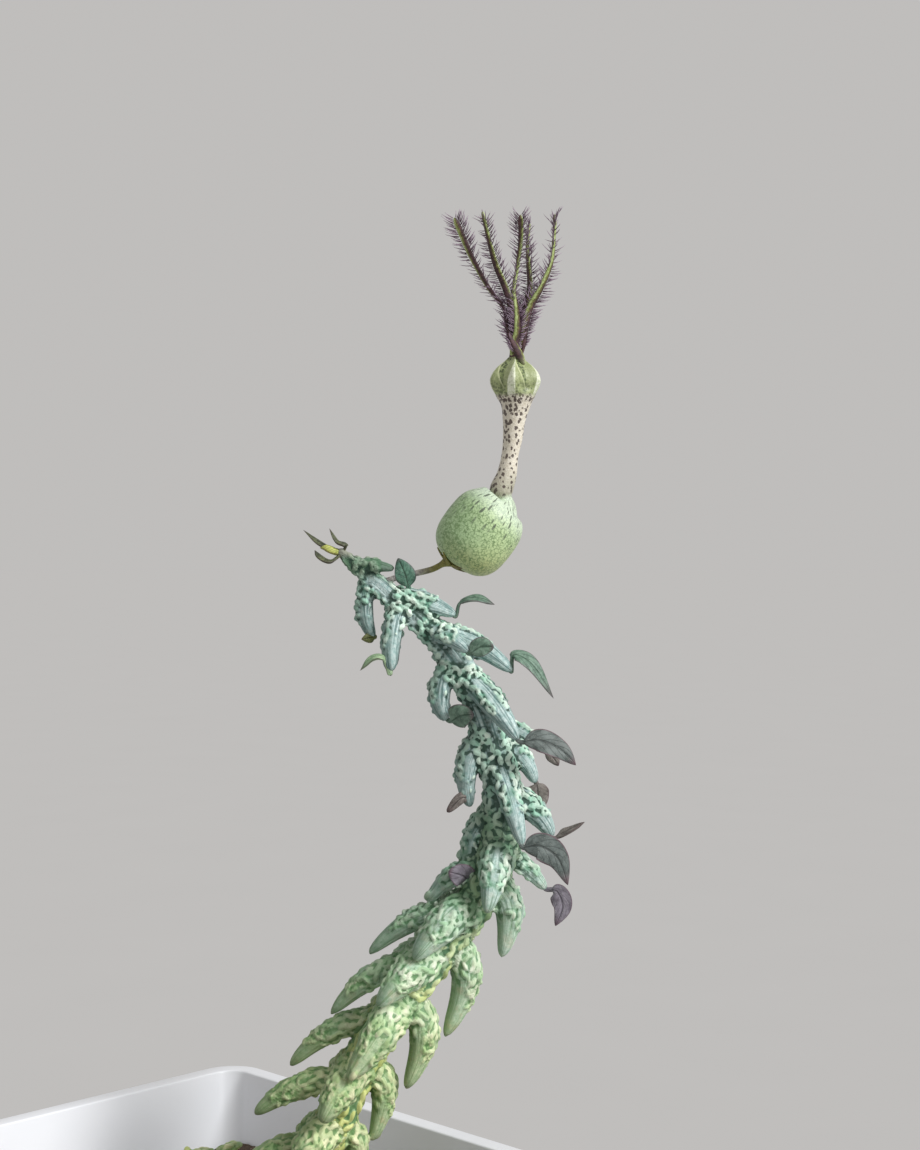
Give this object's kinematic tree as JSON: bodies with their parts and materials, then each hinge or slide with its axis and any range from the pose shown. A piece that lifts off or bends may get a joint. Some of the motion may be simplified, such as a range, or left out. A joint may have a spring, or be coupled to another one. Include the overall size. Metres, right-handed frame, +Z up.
{
  "type": "potted ceropegia simoneae",
  "caption": "Warty trailing succulent with reflexed tubercles, small leaves and a lantern flower with hairy antennae, standing in gritty soil in a square white pot.",
  "frame": {"origin": "centre of the pot's underside", "axes": "+Z up, the longest way of the whole; X and Y along the pot's sides; the plant's broad side faces +X-Y"},
  "size_m": [0.09, 0.0942, 0.2118],
  "materials": {
    "white_glaze": "smooth white moulded plastic with a soft gloss",
    "grit": "dry gritty potting mix with brown and pinkish pebbles",
    "stem_skin": "waxy blue-grey skin with mint to yellow-green warts",
    "stalk_skin": "fine matt skin, grey-purple to olive brown",
    "corolla_skin": "satin petal skin, pale green with dark speckles",
    "antenna_skin": "matt dark maroon and green with purple hairs"
  },
  "bodies": {
    "root": {"pot": "white_glaze", "soil": "grit", "stem": "stem_skin", "side_stem": "stem_skin", "flower_stalk": "stalk_skin", "corolla": "corolla_skin", "antennae": "antenna_skin"}
  },
  "joints": []
}
